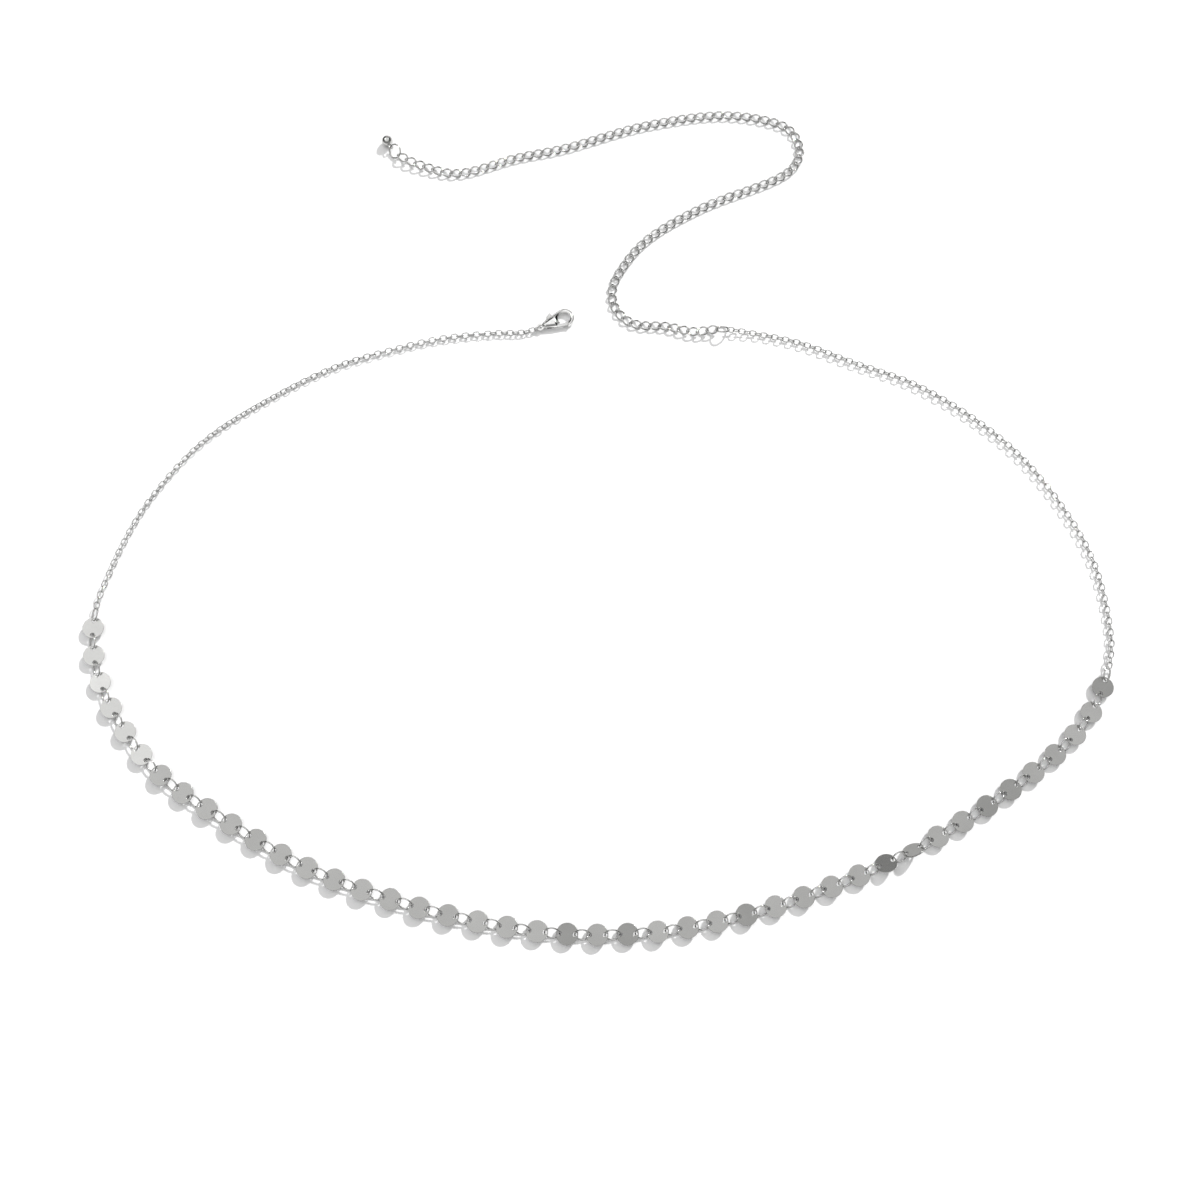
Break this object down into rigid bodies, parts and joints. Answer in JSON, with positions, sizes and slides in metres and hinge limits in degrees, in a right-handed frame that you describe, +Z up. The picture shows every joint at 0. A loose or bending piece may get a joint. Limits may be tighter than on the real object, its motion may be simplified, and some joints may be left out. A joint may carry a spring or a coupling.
{
  "type": "disc waist chain",
  "caption": "Waist chain with a front row of round discs on jump rings, fine cable chain to a lobster clasp, and a curb chain extender that ends in a small ball.",
  "frame": {"origin": "centre of the bounding box, on the surface that the chain lies on", "axes": "+X across the waist loop, from the clasp's side to the extender's side; +Y from the disc row to the clasp; +Z up from the surface"},
  "size_m": [0.2946, 0.2568, 0.0051],
  "materials": {
    "polished_silver": "polished",
    "satin_silver": "satin"
  },
  "bodies": {
    "chain": {"clasp_body": "polished_silver", "fine_chain_left": "polished_silver", "disc_rings": "polished_silver", "discs": "satin_silver", "fine_chain_right": "polished_silver", "jump_ring": "polished_silver", "extender_lower": "polished_silver", "extender_upper": "polished_silver", "end_ring": "polished_silver", "end_ball": "polished_silver"},
    "lever": {"clasp_lever": "polished_silver"}
  },
  "joints": [
    {"name": "lever_pivot", "type": "hinge", "parent": "chain", "child": "lever", "pos_m": [-0.01401, 0.05485, 0.0011], "axis": [0, 0, 1], "range_deg": [0, 20], "stiffness_Nm_per_rad": 0.0005, "springref_deg": -17.19}
  ]
}
